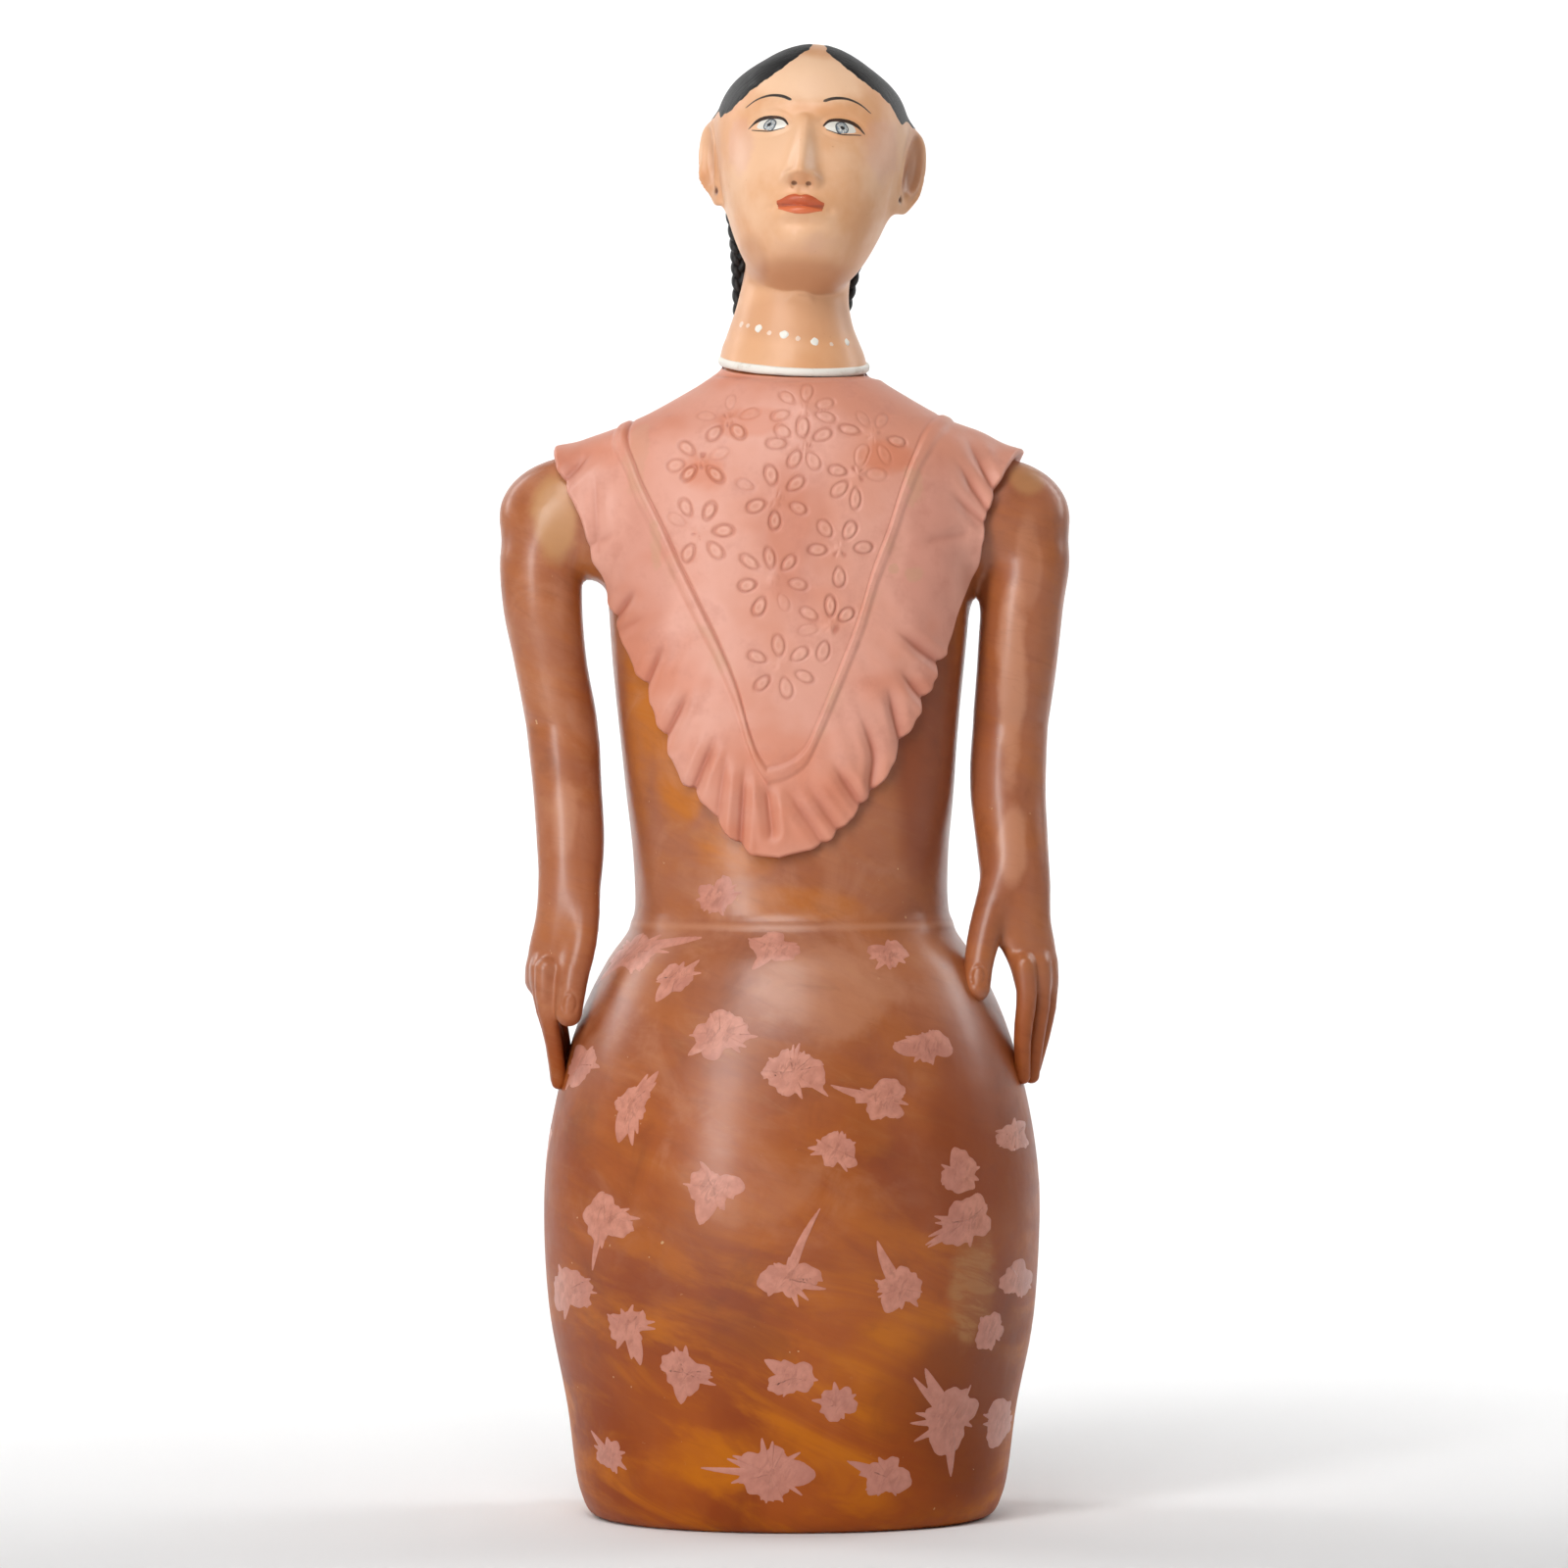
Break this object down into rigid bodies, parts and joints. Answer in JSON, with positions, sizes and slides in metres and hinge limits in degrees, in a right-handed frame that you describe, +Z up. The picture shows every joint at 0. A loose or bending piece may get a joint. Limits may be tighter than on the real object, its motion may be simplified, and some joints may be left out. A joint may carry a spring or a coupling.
{
  "type": "clay figure of a standing woman",
  "caption": "Tall hollow clay figure of a standing woman with a pot-shaped skirt, a ruffled bib blouse, hands on the hips and a lift-off head on a flared neck.",
  "frame": {"origin": "middle of the flat base, on the floor", "axes": "+Z up through the figure, -Y the way it faces, +X on the viewer's right"},
  "size_m": [0.3132, 0.247, 0.8009],
  "materials": {
    "brown_slip": "burnished brown slip with ochre streaks, soft sheen",
    "pink_slip": "satin pink slip on the blouse and in brushed splashes on the skirt",
    "cream_slip": "satin cream slip on the face, ears and neck",
    "black_slip": "dark slip on the hair, semi-matte",
    "white_slip": "white slip on the collar rim and the painted beads",
    "red_slip": "orange-red slip on the lips, satin"
  },
  "bodies": {
    "root": {"body": "brown_slip", "head": "cream_slip"}
  },
  "joints": []
}
